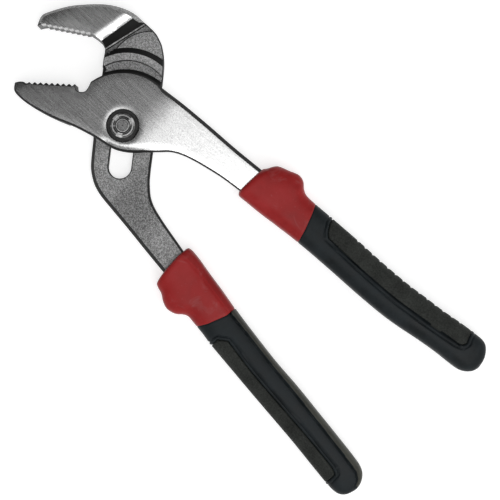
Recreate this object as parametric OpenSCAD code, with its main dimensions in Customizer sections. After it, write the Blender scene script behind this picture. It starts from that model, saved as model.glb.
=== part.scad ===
// Tongue and groove pliers, 10 inch class, millimetres.
// The tool lies flat with +Z up. The pivot bolt's axis is the Z axis, and the
// back of the bolt's head and the undersides of the grips lie on z = 0.
// +X runs along the bisector of the handles, away from the jaws.
// The front half (lower jaw, upper handle) turns about Z on the rear half.

/* [Forgings] */
// Height of the forgings' back faces above the resting plane
back_z = 2; // [1.8:0.1:2.4]
// Thickness of both jaws
jaw_t = 12; // [11:0.5:12.5]
// Height of the grooved face's floor above the forgings' back faces
floor_t = 4; // [3.5:0.1:4.2]
// Height of the ridges between the grooves
ridge_h = 2; // [1.6:0.1:2.2]
// Thickness of the handles' shanks and tangs
shank_t = 7; // [6:0.5:7.5]
// Radius of the front half's joint boss
boss_r = 24.8; // [24:0.1:25]

/* [Grooves] */
// Distance between two neighbouring grooves along the slot
groove_pitch = 10; // [9.6:0.1:10]
// Inner radius of each ridge
ridge_in_r = 20.9; // [20.7:0.1:21.2]
// Outer radius of each ridge's top
ridge_out_r = 24.2; // [24:0.1:24.4]
// Width of the slope on each ridge's outer side
ridge_slope = 2.7; // [2.2:0.1:2.8]
// Radial width of the tongue
tongue_w = 1.6; // [1.2:0.1:1.8]
// Clearance between the tongue and its groove
tongue_gap = 0.2; // [0.15:0.05:0.3]

/* [Slot and bolt] */
// Direction of the slot, towards the upper jaw
slot_angle = 125; // [124:0.5:126]
// Width of the slot
slot_w = 10.6; // [10.2:0.1:10.8]
// Distance from the bolt to the centre of the slot's lower end
slot_down = 18.4; // [18:0.1:18.6]
// Distance from the bolt to the centre of the slot's upper end
slot_up = 10.4; // [10:0.1:11]
// Radius of the bolt's plain shank
bolt_r = 3.7; // [3.4:0.1:3.8]
// Radial running clearance between the bolt and the boss
bolt_clear = 0.05; // [0.03:0.01:0.08]
// Radius of the bolt's head
head_r = 8; // [7.5:0.1:8.5]
// Radius of the bolt's threaded end
thread_r = 3.2; // [3:0.1:3.3]
// Radius of the nut
nut_r = 5.4; // [5.2:0.1:5.6]
// Radius of the washer under the nut
washer_r = 7.35; // [7:0.05:7.4]
// Thickness of the washer
washer_t = 1.2; // [1:0.1:1.4]
// Depth of the recess that holds the washer
recess_d = 1.9; // [1.6:0.1:2]

/* [Teeth] */
// Number of teeth on the lower jaw; the upper one has one more
tooth_count = 8; // [6:1:8]
// Depth of the lower jaw's teeth
lower_tooth_d = 1; // [0.7:0.1:1.2]
// Depth of the upper jaw's teeth, which are finer
upper_tooth_d = 0.6; // [0.4:0.1:0.8]

/* [Grips] */
// Thickness of the grips
grip_t = 16; // [15.5:0.5:16]
// Clearance between the tangs and the grips
tang_gap = 0.1; // [0.05:0.05:0.2]
// Depth of the palm inserts below the grips' surface
insert_d = 2; // [1.6:0.1:2.4]

/* [Hidden] */
$fn = 96;

eps = 0.01;
far = 400;
// How far a cut starts past the face it opens
over = 1;
floor_z = back_z + floor_t;
ridge_z = floor_z + ridge_h;
face_z = back_z + jaw_t;
boss_z = ridge_z + 0.1;
grip_mid = grip_t / 2;
shank_lo = grip_mid - shank_t / 2;
shank_hi = grip_mid + shank_t / 2;
// Grooves are numbered from the one in use, upwards along the slot
first_ridge = -2;
last_ridge = 1;
slot_dir = [cos(slot_angle), sin(slot_angle)];

// Points of a smooth curve through a list of points, without its last point
curve_steps = 5;
function blend_at(a, b, c, d, t) =
    0.5 * (2 * b + (c - a) * t + (2 * a - 5 * b + 4 * c - d) * t * t
           + (3 * b - a - 3 * c + d) * t * t * t);
function pick(p, i) = p[min(max(i, 0), len(p) - 1)];
function curve(p, n = curve_steps) = [
    for (i = [0 : len(p) - 2], k = [0 : n - 1])
        blend_at(pick(p, i - 1), p[i], p[i + 1], pick(p, i + 2), k / n)
];
function arc(r, a0, a1, n) = [
    for (k = [0 : n]) let (a = a0 + (a1 - a0) * k / n) [r * cos(a), r * sin(a)]
];
// Teeth along the line from a to b; lean is the share of the pitch before each valley
function teeth(a, b, n, depth, lean) =
    let (step = (b - a) / n, side = [-step[1], step[0]] / norm(step))
    [for (k = [0 : n - 1], s = [0, 1])
        a + step * (k + s * lean) - side * depth * s];

// ---- Outline of the rear half: upper jaw, grooved neck, slot and lower handle
jaw_back = curve([
    [-59.6, 7.8], [-61.2, 12.4], [-59.6, 16.6], [-55, 23.9], [-50, 29.5], [-45, 34.2],
    [-40, 37.9], [-35, 40.3], [-30, 41.6], [-24, 42.1], [-18, 41.8], [-13, 39.9],
    [-9, 36.8], [-5, 32.6], [0, 25.8]
]);
neck_outer = curve([
    [0, 25.8], [8.5, 13.2], [17, 0.6], [23.6, -8.8], [27.2, -12.9], [31, -16.2],
    [35.7, -18.5], [43.8, -20.8], [53.8, -23.1], [62, -25]
]);
heel = curve([
    [62, -38], [49, -36.1], [34, -33.8], [20, -32], [12.5, -30.8], [7, -28.9],
    [2, -25.5], [-1.5, -21.7], [-7.9, -12.9]
]);
throat = curve([
    [-23.4, 10.3], [-29.8, 19.4], [-31.4, 21.1], [-33.4, 21.8], [-37, 21.7]
]);
upper_lean = 0.25;
upper_teeth = teeth([-38.8, 21.4], [-58.6, 9.5], tooth_count + 1, upper_tooth_d, upper_lean);
rear_outline = concat(jaw_back, neck_outer, heel, throat, upper_teeth);

// ---- Outline of the front half: lower jaw, boss and upper handle
jaw_belly = curve([
    [-49.8, -18.3], [-47.8, -21], [-44.5, -21.8], [-39, -21.6], [-32, -20.2],
    [-25, -18.2], [-17, -15.3], [-10.4, -13.5], [-4, -12.1], [2.5, -11], [7, -9.1],
    [11.5, -5.9], [16, -1.5], [20, 2.2], [24, 5.8], [29, 8.3], [35, 10.1],
    [42, 11.6], [50, 12.9], [62, 14]
]);
shank_back = curve([
    [62, 27.7], [45, 26.8], [30, 26.5], [15, 25.9], [6, 25.2], [1.3, 24.8]
]);
boss_edge = arc(boss_r, 90, 168, 20);
gullet = curve([
    [-24.3, 4.8], [-23.4, 2.4], [-23.3, 0.2], [-24.6, -1.4], [-26.3, -2.1],
    [-27.8, -1.5], [-28.9, -0.5]
]);
lower_lean = 0.5;
lower_teeth = teeth([-28.9, -0.5], [-45.1, -13.7], tooth_count, -lower_tooth_d, lower_lean);
jaw_nose = [[-45.1, -13.7], [-45.5, -15.1], [-47.4, -15.4], [-48.8, -16.8]];
front_outline = concat(jaw_belly, shank_back, boss_edge, gullet, lower_teeth, jaw_nose);

// ---- Lower and upper sides of each guard's mouth, round the end of the shank
shank_end = 62;
front_mouth = [13.4, 27.9];
rear_mouth = [-38.2, -24];

// ---- Tangs inside the grips: lower edge, then upper edge, from the shank outwards
front_tang = [[58, 14.2], [80, 17.2], [148, 20.8], [151, 24.6], [148, 28.4], [80, 28.4], [58, 27.6]];
rear_tang = [[58, -37.2], [80, -39.8], [148, -50.2], [151, -46.4], [148, -41.6], [80, -28.6], [58, -24.4]];

// ---- Handle forms: station x, lower y, upper y and half thickness at each station
front_form = [
    [59.2, 13, 28.6, 6.6], [60.2, 11.8, 29.8, 7.7], [62, 11.6, 32.4, 8], [65, 11.8, 34.2, 8],
    [70, 12, 35.9, 8], [74.5, 12.3, 37.4, 8], [78, 12.6, 36.6, 8], [81, 12.9, 33.9, 8],
    [84, 13.1, 32.7, 8], [90, 13.6, 32.6, 8], [100, 14.1, 32.9, 8], [115, 14.4, 33.2, 8],
    [130, 14.5, 33.2, 8], [145, 15, 33.7, 8], [155, 16, 34.6, 8], [165, 17.5, 35.4, 8],
    [175, 18.7, 36.7, 8], [183, 19.2, 37.4, 8], [188, 19.7, 37.5, 7.6], [191, 20.9, 36, 7],
    [193.5, 23.2, 32.5, 5.4], [194.7, 25.6, 28.6, 2.6]
];
rear_form = [
    [58.4, -38.5, -22, 6.6], [59.2, -43, -20.9, 7.7], [61, -44.4, -20.6, 8], [64, -45.5, -20.9, 8],
    [67.5, -47.9, -21.5, 8], [71, -49, -22.3, 8], [75, -48.1, -23.2, 8], [78, -45.9, -23.8, 8],
    [80.5, -45, -24.3, 8], [84, -45.5, -25, 8], [90, -46.4, -26.4, 8], [97, -47.8, -28, 8],
    [109, -49.5, -30.4, 8], [124, -51.6, -33, 8], [139, -53.6, -34.8, 8], [154, -55.6, -37.2, 8],
    [169, -58, -39.6, 8], [180, -59.6, -41.5, 8], [185, -59.5, -42.7, 7.6], [188, -57.6, -44.6, 6.8],
    [189.8, -54, -47.5, 5], [190.3, -51.8, -49.8, 2.6]
];
// Where each guard ends and its grip begins
front_split = [[89.2, 40], [89.2, 32.6], [91.2, 27], [93.4, 20], [94.8, 13.8], [94.8, 5]];
rear_split = [[86, -60], [86, -46], [89, -41.2], [92.8, -32.5], [94, -27.2], [94, -15]];
// The area of each palm insert, seen from above
front_panel = concat(
    curve([[99.2, 45], [99.4, 32], [100.4, 28.8], [102, 26], [104, 24.3]], 3),
    curve([[104, 24.3], [128, 23.8], [145, 24.1], [163, 25.7], [178, 27.7]], 3),
    curve([[178, 27.7], [181.4, 29], [182.5, 31.4], [181.6, 34], [180.4, 45]], 3), [[180.4, 45]]
);
rear_panel = concat(
    curve([[96.6, -70], [96.8, -46], [98, -42.8], [101.2, -40.6]], 3),
    curve([[101.2, -40.6], [118.5, -43.9], [138, -46.5], [158, -49], [174, -51.5]], 3),
    curve([[174, -51.5], [177.2, -52.8], [177.8, -55], [177.4, -70]], 3), [[177.4, -70]]
);

// ---- Grip solids are one closed loft through their stations
ring_n = 18;
squareness = 3.2;
// The half thickness that the handle forms are drawn at
form_half = 8;
function shaped(c) = sign(c) * pow(abs(c), 2 / squareness);
function ring(s, inset) = [
    for (k = [0 : ring_n - 1]) let (a = 360 * (k + 0.5) / ring_n) [
        s[0],
        (s[1] + s[2]) / 2 + ((s[2] - s[1]) / 2 - inset) * shaped(cos(a)),
        grip_mid + (min(s[3], form_half) * grip_mid / form_half - inset) * shaped(sin(a))
    ]
];
module loft(form, inset = 0, steps = 2) {
    stations = concat(curve(form, steps), [form[len(form) - 1]]);
    last = len(stations) - 1;
    points = [for (s = stations) each ring(s, inset)];
    sides = [
        for (i = [0 : last - 1], k = [0 : ring_n - 1])
            let (a = i * ring_n + k, b = i * ring_n + (k + 1) % ring_n)
            each [[b + ring_n, b, a], [a + ring_n, b + ring_n, a]]
    ];
    near_end = [[for (k = [0 : ring_n - 1]) k]];
    far_end = [[for (k = [ring_n - 1 : -1 : 0]) last * ring_n + k]];
    polyhedron(points, concat(sides, near_end, far_end), convexity = 4);
}

module slab(outline, z0, z1) {
    translate([0, 0, z0]) linear_extrude(z1 - z0) polygon(outline);
}

// A shape of the XZ plane, drawn right through the part along Y
module side_cut(profile) {
    translate([0, far / 2, 0]) rotate([90, 0, 0]) linear_extrude(far) polygon(profile);
}

// ---- Rear half
shoulder_angle = -12.3;
shoulder_top = -37.3;
shoulder_foot = -34.7;
ledge_end = -32.4;
ledge_h = 0.5;
tang_from = 60;
// The shank's top and bottom rise from the neck between these two stations
rear_step = [14, 44];
step_len = rear_step[1] - rear_step[0];
top_rise = (shank_hi - floor_z) / step_len;
bottom_rise = (shank_lo - back_z) / step_len;
lead = 80;
// Everything above the shoulder, the grooved face and the shank
module above_rear_half() {
    intersection() {
        rotate([0, 0, shoulder_angle]) side_cut([
            [shoulder_top, face_z], [shoulder_foot, floor_z + ledge_h], [ledge_end, floor_z + ledge_h],
            [ledge_end, floor_z], [far, floor_z], [far, far], [shoulder_top, far]
        ]);
        side_cut([
            [rear_step[0] - lead, floor_z - lead * top_rise], [rear_step[1], shank_hi],
            [far, shank_hi], [far, far], [rear_step[0] - lead, far]
        ]);
    }
}

module under_rear_shank() {
    side_cut([
        [rear_step[0] - lead, back_z - lead * bottom_rise], [rear_step[0] - lead, -far],
        [far, -far], [far, shank_lo], [rear_step[1], shank_lo]
    ]);
}

module ridge(k) {
    base_r = ridge_out_r + ridge_slope;
    translate([slot_dir[0], slot_dir[1], 0] * groove_pitch * k) rotate_extrude() polygon([
        [ridge_in_r, floor_z - over], [base_r, floor_z - over], [base_r, floor_z],
        [ridge_out_r, ridge_z], [ridge_in_r, ridge_z]
    ]);
}

slot_len = slot_up + slot_down;
module slot() {
    rotate([0, 0, slot_angle]) {
        translate([-slot_down, -slot_w / 2, back_z - over]) cube([slot_len, slot_w, far]);
        for (s = [-slot_down, slot_up]) {
            translate([s, 0, back_z - over]) cylinder(d = slot_w, h = far);
        }
    }
}

// Only the upper arcs of the ridges are kept, across the neck
neck_from = -6;
neck_size = 60;
module neck_zone() {
    rotate([0, 0, slot_angle])
        translate([neck_from, -neck_size / 2, 0]) cube([neck_size, neck_size, face_z]);
}

module rear_half() color([0.42, 0.42, 0.43]) {
    difference() {
        union() {
            difference() {
                slab(rear_outline, back_z, face_z);
                above_rear_half();
                under_rear_shank();
            }
            intersection() {
                union() {
                    for (k = [first_ridge : last_ridge]) ridge(k);
                }
                slab(rear_outline, back_z, face_z);
                neck_zone();
            }
            slab(rear_tang, shank_lo, shank_hi);
        }
        slot();
    }
}

// ---- Front half
front_step = [27, 42];
crown_start = 16;
crown_end = 50;
tongue_from = 136;
tongue_to = 172;
tongue_r = ridge_in_r - tongue_gap;
tongue_root = 1;
neck_clear = 0.6;
washer_clear = 0.25;
jaw_end = -70;
module front_side() {
    side_cut([
        [jaw_end, back_z], [0, back_z], [0, boss_z], [front_step[0], boss_z],
        [front_step[1], shank_lo], [tang_from, shank_lo], [tang_from, shank_hi], [crown_end, shank_hi],
        [crown_start, face_z], [jaw_end, face_z]
    ]);
}

tongue_h = boss_z + tongue_root - floor_z - tongue_gap;
module tongue() {
    intersection() {
        difference() {
            translate([0, 0, floor_z + tongue_gap]) cylinder(r = tongue_r, h = tongue_h);
            cylinder(r = tongue_r - tongue_w, h = far);
        }
        slab(concat([[0, 0]], arc(2 * boss_r, tongue_from, tongue_to, 6)), 0, far);
    }
}

module front_half() color([0.75, 0.75, 0.77]) {
    difference() {
        union() {
            intersection() {
                slab(front_outline, 0, face_z);
                front_side();
            }
            slab(front_tang, shank_lo, shank_hi);
        }
        // Room for the rear half's neck under the boss
        cylinder(r = boss_r + neck_clear, h = boss_z);
        translate([0, 0, boss_z - over]) cylinder(r = bolt_r + bolt_clear, h = far);
        translate([0, 0, face_z - recess_d]) cylinder(r = washer_r + washer_clear, h = far);
    }
    tongue();
}

// ---- Pivot hardware: the washer lies in the recess, the nut on it, and the
// bolt's threaded end stands just below the nut's face
seat_clear = 0.1;
nut_sink = 0.4;
bolt_point = 0.5;
bolt_sink = 0.4;
washer_z = face_z - recess_d + seat_clear;
nut_z = washer_z + washer_t;
nut_top = grip_t - nut_sink;
thread_top = nut_top - bolt_sink - bolt_point;
module pivot_bolt() color([0.2, 0.2, 0.21]) {
    crown = 0.8;
    cylinder(r1 = head_r - crown, r2 = head_r, h = crown);
    translate([0, 0, crown]) cylinder(r = head_r, h = back_z - crown);
    cylinder(r = bolt_r, h = washer_z + washer_t / 2);
    cylinder(r = thread_r, h = thread_top);
    translate([0, 0, thread_top]) cylinder(r1 = thread_r, r2 = thread_r - bolt_point, h = bolt_point);
}

thread_clear = 0.05;
dish_h = 0.9;
dish_w = 1.4;
module pivot_nut() color([0.22, 0.22, 0.23]) {
    notch_w = 2.4;
    notch_in = 0.9;
    notch_h = 0.8;
    difference() {
        translate([0, 0, nut_z]) cylinder(r = nut_r, h = nut_top - nut_z);
        translate([0, 0, nut_z - over]) cylinder(r = thread_r + thread_clear, h = far);
        translate([0, 0, nut_top - dish_h])
            cylinder(r1 = thread_r, r2 = thread_r + dish_w, h = dish_h + eps);
        for (a = [65, 171, 294]) {
            rotate([0, 0, a])
                translate([nut_r - notch_in, -notch_w / 2, nut_top - notch_h])
                cube([notch_in + over, notch_w, notch_h + over]);
        }
    }
}

module nut_washer() color([0.12, 0.12, 0.12]) {
    difference() {
        translate([0, 0, washer_z]) cylinder(r = washer_r, h = washer_t);
        translate([0, 0, washer_z - over]) cylinder(r = bolt_r + seat_clear, h = far);
    }
}

// ---- Guards, grips and palm inserts
handle_start = 50;
full_height = grip_t + over;
module guard(form, tang, mouth, split) {
    difference() {
        intersection() {
            loft(form);
            slab(concat(split, [
                [handle_start, split[len(split) - 1][1]], [handle_start, split[0][1]]
            ]), -over, full_height);
        }
        tang_pocket(tang);
        shank_pocket(mouth);
    }
}

// The room for a tang, with the gap all round: its points 2 to 4 are the outer end
pocket_lo = shank_lo - tang_gap;
pocket_hi = shank_hi + tang_gap;
module tang_pocket(tang) {
    slab([
        for (i = [0 : len(tang) - 1])
            tang[i] + tang_gap * [i > 1 && i < 5 ? 1 : 0, i < 3 ? -1 : i > 3 ? 1 : 0]
    ], pocket_lo, pocket_hi);
}

// The room for the end of a shank inside its guard
module shank_pocket(mouth) {
    end_x = shank_end + tang_gap;
    translate([handle_start, mouth[0], pocket_lo])
        cube([end_x - handle_start, mouth[1] - mouth[0], pocket_hi - pocket_lo]);
}

// The part of a handle form between two stations
function between(form, x0, x1) = [for (s = form) if (s[0] > x0 && s[0] < x1) s];

insert_core = [85, 187];
module insert_zone(form, panel) {
    difference() {
        slab(panel, -over, full_height);
        loft(between(form, insert_core[0], insert_core[1]), insert_d, 1);
    }
}

seam = [0.1, 0];
module grip(form, tang, split, panel) {
    edge = [for (p = split) p + seam];
    difference() {
        intersection() {
            loft(form);
            slab(concat(edge, [[far, edge[len(edge) - 1][1]], [far, edge[0][1]]]), -over, full_height);
        }
        tang_pocket(tang);
        insert_zone(form, panel);
    }
}

module palm_insert(form, panel) {
    intersection() {
        loft(form);
        insert_zone(form, panel);
    }
}

module rear_guard() color([0.58, 0.13, 0.15]) guard(rear_form, rear_tang, rear_mouth, rear_split);
module front_guard() color([0.58, 0.13, 0.15]) guard(front_form, front_tang, front_mouth, front_split);
module rear_grip() color([0.2, 0.22, 0.23]) grip(rear_form, rear_tang, rear_split, rear_panel);
module front_grip() color([0.2, 0.22, 0.23]) grip(front_form, front_tang, front_split, front_panel);
module rear_palm_insert() color([0.15, 0.15, 0.14]) palm_insert(rear_form, rear_panel);
module front_palm_insert() color([0.15, 0.15, 0.14]) palm_insert(front_form, front_panel);

rear_half();
front_half();
pivot_bolt();
pivot_nut();
nut_washer();
rear_guard();
front_guard();
rear_grip();
front_grip();
rear_palm_insert();
front_palm_insert();
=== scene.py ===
"""Tongue and groove pliers: the finished look of every piece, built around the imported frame."""
import math

import bpy
import numpy as np
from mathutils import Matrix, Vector
from mathutils.geometry import delaunay_2d_cdt


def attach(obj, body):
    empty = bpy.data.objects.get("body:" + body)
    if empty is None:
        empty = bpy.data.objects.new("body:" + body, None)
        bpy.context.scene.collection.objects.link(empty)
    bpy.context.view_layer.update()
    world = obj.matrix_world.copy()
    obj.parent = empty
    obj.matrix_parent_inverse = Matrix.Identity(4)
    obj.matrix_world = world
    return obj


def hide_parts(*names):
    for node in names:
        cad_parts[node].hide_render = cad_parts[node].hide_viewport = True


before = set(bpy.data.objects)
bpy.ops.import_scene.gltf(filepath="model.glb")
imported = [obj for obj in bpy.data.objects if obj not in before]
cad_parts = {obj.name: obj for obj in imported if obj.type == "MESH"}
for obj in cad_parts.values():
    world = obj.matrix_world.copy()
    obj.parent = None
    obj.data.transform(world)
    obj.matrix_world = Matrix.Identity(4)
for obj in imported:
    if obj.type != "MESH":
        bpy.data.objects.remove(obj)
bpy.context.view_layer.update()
MM = 0.001

# ---------------------------------------------------------------- plan curves, in millimetres


def curve(points, n=5, last=False):
    """A smooth curve through the points, n steps to each span."""
    p = [np.array(q, float) for q in points]
    out = []
    for i in range(len(p) - 1):
        a, b, c, d = p[max(i - 1, 0)], p[i], p[i + 1], p[min(i + 2, len(p) - 1)]
        for t in np.arange(n) / n:
            out.append(0.5 * (2 * b + (c - a) * t + (2 * a - 5 * b + 4 * c - d) * t * t
                              + (3 * b - a - 3 * c + d) * t ** 3))
    if last:
        out.append(p[-1])
    return np.array(out)


def arc(r, a0, a1, n, centre=(0, 0)):
    a = np.radians(np.linspace(a0, a1, n + 1))
    return np.stack([centre[0] + r * np.cos(a), centre[1] + r * np.sin(a)], 1)


def tooth_row(a, b, n, depth, lean, side_sign):
    """Crests on the line from a to b, and a rounded valley after each."""
    a, b = np.array(a, float), np.array(b, float)
    step = (b - a) / n
    side = np.array([-step[1], step[0]]) / np.hypot(*step) * side_sign
    profile = ((0, 0), (0.1, 0.1), (lean * 0.8, 0.85), (lean, 1), (lean + 0.08, 0.88), (0.9, 0.12))
    return np.array([a + step * (k + share) + side * depth * deep
                     for k in range(n) for share, deep in profile])


def dense(points, spacing=0.5, closed=False):
    """The same line with extra points on its long spans."""
    p = np.asarray(points, float)
    q = np.roll(p, -1, 0) if closed else p[1:]
    out = []
    for a, b in zip(p, q):
        n = max(1, int(np.hypot(*(b - a)) / spacing))
        out += [a + (b - a) * k / n for k in range(n)]
    if not closed:
        out.append(p[-1])
    return np.array(out)


def line_distance(xy, line, closed=False):
    """Distance of each point to a line, the nearest segment's number and the place on it."""
    p = np.asarray(line, float)
    q = np.roll(p, -1, 0) if closed else p[1:]
    p = p if closed else p[:-1]
    d = q - p
    length = np.maximum((d ** 2).sum(1), 1e-12)
    best = np.full(len(xy), 1e9)
    seg = np.zeros(len(xy), int)
    place = np.zeros(len(xy))
    for s in range(0, len(xy), 4000):
        part = xy[s:s + 4000]
        rel = part[:, None, :] - p[None]
        t = np.clip((rel * d).sum(2) / length, 0, 1)
        gap = np.hypot(*np.moveaxis(rel - t[..., None] * d, 2, 0))
        k = gap.argmin(1)
        rows = np.arange(len(part))
        best[s:s + 4000], seg[s:s + 4000], place[s:s + 4000] = gap[rows, k], k, t[rows, k]
    return best, seg, place


def inside(xy, loop):
    x, y = xy[:, 0], xy[:, 1]
    hit = np.zeros(len(xy), bool)
    for (x0, y0), (x1, y1) in zip(loop, np.roll(loop, -1, 0)):
        if y0 != y1:
            hit ^= ((y0 > y) != (y1 > y)) & (x < (x1 - x0) * (y - y0) / (y1 - y0) + x0)
    return hit


def smooth(t):
    t = np.clip(t, 0, 1)
    return t * t * (3 - 2 * t)


def bump(d, width):
    return np.exp(-(d / width) ** 2)


# ---------------------------------------------------------------- forgings as plates with shaped edges


class Loop:
    """A closed outline. Each stretch has its own edge: how wide its chamfer is, and how deep."""

    REACH = 2.5  # how far along the outline a change of chamfer is spread
    RISE = 0.35  # the most that the spreading may add to a chamfer
    MITRE = 0.72  # the sharpest corner that an inner ring follows exactly

    def __init__(self, stretches):
        pts, wide, deep = [], [], []
        for line, w, d in stretches:
            line = dense(line, 0.6)[:-1]
            pts.append(line)
            wide += [w] * len(line)
            deep += [d] * len(line)
        self.p = np.concatenate(pts)
        area = np.sum(self.p[:, 0] * np.roll(self.p[:, 1], -1) - np.roll(self.p[:, 0], -1) * self.p[:, 1])
        self.w, self.d = np.array(wide), np.array(deep)
        if area < 0:
            self.p, self.w, self.d = self.p[::-1], self.w[::-1], self.d[::-1]
        self.w, self.d = self.soften(self.w), self.soften(self.d)

    def soften(self, values):
        """Averages a value along the outline, and adds no more than RISE to it anywhere."""
        step = np.hypot(*(np.roll(self.p, -1, 0) - self.p).T)
        s = np.concatenate([[0], np.cumsum(step)[:-1]])
        total = step.sum()
        gap = np.abs(s[:, None] - s[None])
        gap = np.minimum(gap, total - gap)
        weight = np.maximum(0, 1 - gap / self.REACH) * step[None]
        return np.minimum((weight @ values) / weight.sum(1), values + self.RISE)

    def ring(self, share, inward):
        """The outline moved by a share of the chamfer's width. inward is 1 for an outline, -1 for a hole."""
        a, b = self.p - np.roll(self.p, 1, 0), np.roll(self.p, -1, 0) - self.p
        na = np.stack([-a[:, 1], a[:, 0]], 1) / np.hypot(*a.T)[:, None]
        nb = np.stack([-b[:, 1], b[:, 0]], 1) / np.hypot(*b.T)[:, None]
        n = na + nb
        n /= np.maximum(np.hypot(*n.T), 1e-9)[:, None]
        stretch = 1 / np.maximum((n * nb).sum(1), self.MITRE)
        return self.p + n * (self.w * share * stretch)[:, None] * inward


GRID, GRID_ROW = 1.4, 0.87  # spacing of the points inside a plate, and of their rows as a share of it
EDGE_FREE, LINE_FREE = 0.5, 0.35  # how far those points stay from the outlines and from the drawn lines
WELD, SLIVER = 1e-4, 1e-7
LOW_CHAMFER, EDGE_EASE, THINNEST = 0.7, 1.1, 0.05
OFF_EDGE = 9.0


def plate(name, outline, holes, lines, top, bottom, paint, materials, extra_parts=()):
    """A forging: one plan view, a height for every point of its top and bottom, and its edges."""
    loops = [(outline, 1)] + [(h, -1) for h in holes]
    verts, edges = [], []

    def add(points, closed):
        first = len(verts)
        verts.extend(Vector((float(x), float(y))) for x, y in points)
        n = len(points)
        edges.extend((first + i, first + (i + 1) % n) for i in range(n if closed else n - 1))

    def within(xy):
        keep = inside(xy, outline.p)
        for h in holes:
            keep &= ~inside(xy, h.p)
        return keep

    for loop, sign in loops:
        add(loop.p, True)
        for share in (0.5, 1):
            add(loop.ring(share, sign), True)
    for line in lines:
        add(line, False)
    lo, hi = outline.p.min(0), outline.p.max(0)
    gx, gy = np.meshgrid(np.arange(lo[0], hi[0], GRID), np.arange(lo[1], hi[1], GRID * GRID_ROW))
    gx = gx + (np.arange(gx.shape[0])[:, None] % 2) * GRID / 2
    fill = np.stack([gx.ravel(), gy.ravel()], 1)
    clear = within(fill)
    for loop, _ in loops:
        clear &= line_distance(fill, loop.p, True)[0] > EDGE_FREE
    for line in lines:
        clear &= line_distance(fill, line)[0] > LINE_FREE
    verts.extend(Vector((float(x), float(y))) for x, y in fill[clear])
    out_v, _, out_f = delaunay_2d_cdt(verts, edges, [], 0, WELD)[:3]
    xy = np.array([[v.x, v.y] for v in out_v])
    tri = np.array([f for f in out_f if len(f) == 3])
    c = xy[tri].mean(1)
    tri = tri[within(c)]
    e1, e2 = xy[tri[:, 1]] - xy[tri[:, 0]], xy[tri[:, 2]] - xy[tri[:, 0]]
    turn = e1[:, 0] * e2[:, 1] - e1[:, 1] * e2[:, 0]
    tri, turn = tri[np.abs(turn) > SLIVER], turn[np.abs(turn) > SLIVER]
    tri[turn < 0] = tri[turn < 0][:, ::-1]
    used = np.unique(tri)
    renumber = np.full(len(xy), -1)
    renumber[used] = np.arange(len(used))
    xy, tri = xy[used], renumber[tri]
    c = xy[tri].mean(1)

    def edge_state(q):
        """How far across the nearest chamfer a point is (1 is off it), and how deep that chamfer is."""
        share, deep, dist = np.full(len(q), OFF_EDGE), np.zeros(len(q)), np.full(len(q), np.inf)
        for loop, _ in loops:
            d, seg, place = line_distance(q, loop.p, True)
            nxt = (seg + 1) % len(loop.p)
            w = loop.w[seg] * (1 - place) + loop.w[nxt] * place
            z = loop.d[seg] * (1 - place) + loop.d[nxt] * place
            s = d / w
            take = s < share
            share[take], deep[take] = s[take], z[take]
            dist = np.minimum(dist, d)
        return share, deep, dist

    share, deep, dist = edge_state(xy)
    cut = np.clip(1 - share, 0, 1)
    z_top = top(xy[:, 0], xy[:, 1], dist) - deep * cut ** EDGE_EASE
    z_low = bottom(xy[:, 0], xy[:, 1]) + np.minimum(deep, LOW_CHAMFER) * cut
    z_top = np.maximum(z_top, z_low + THINNEST)
    n = len(xy)
    co = np.concatenate([np.c_[xy, z_top], np.c_[xy, z_low]])
    faces = [tuple(t) for t in tri] + [(a + n, c2 + n, b + n) for a, b, c2 in tri]
    paint_top, paint_low, paint_wall = paint(c, edge_state(c)[0])
    index = list(paint_top) + list(paint_low)
    sides = dict.fromkeys(e for a, b, c2 in tri for e in ((a, b), (b, c2), (c2, a)))
    for a, b in sides:
        if (b, a) not in sides:
            faces.append((b, a, a + n, b + n))
            index.append(paint_wall((xy[a] + xy[b]) / 2))
    for part_co, part_faces, part_index in extra_parts:
        base = len(co)
        co = np.concatenate([co, part_co])
        faces += [tuple(base + i for i in f) for f in part_faces]
        index += [part_index] * len(part_faces)
    return solid(name, co, faces, materials, index)


def solid(name, co, faces, materials, index, sharp=28):
    """A mesh object from points in millimetres. Edges sharper than sharp degrees stay crisp."""
    mesh = bpy.data.meshes.new(name)
    mesh.from_pydata([tuple(map(float, p)) for p in np.asarray(co) * MM], [], faces)
    mesh.validate()
    for m in materials:
        mesh.materials.append(m)
    mesh.polygons.foreach_set("material_index", np.array(index, np.int32))
    mesh.polygons.foreach_set("use_smooth", np.ones(len(mesh.polygons), bool))
    mesh.set_sharp_from_angle(angle=math.radians(sharp))
    mesh.update()
    obj = bpy.data.objects.new(name, mesh)
    bpy.context.scene.collection.objects.link(obj)
    return obj


# ---------------------------------------------------------------- materials


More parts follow.
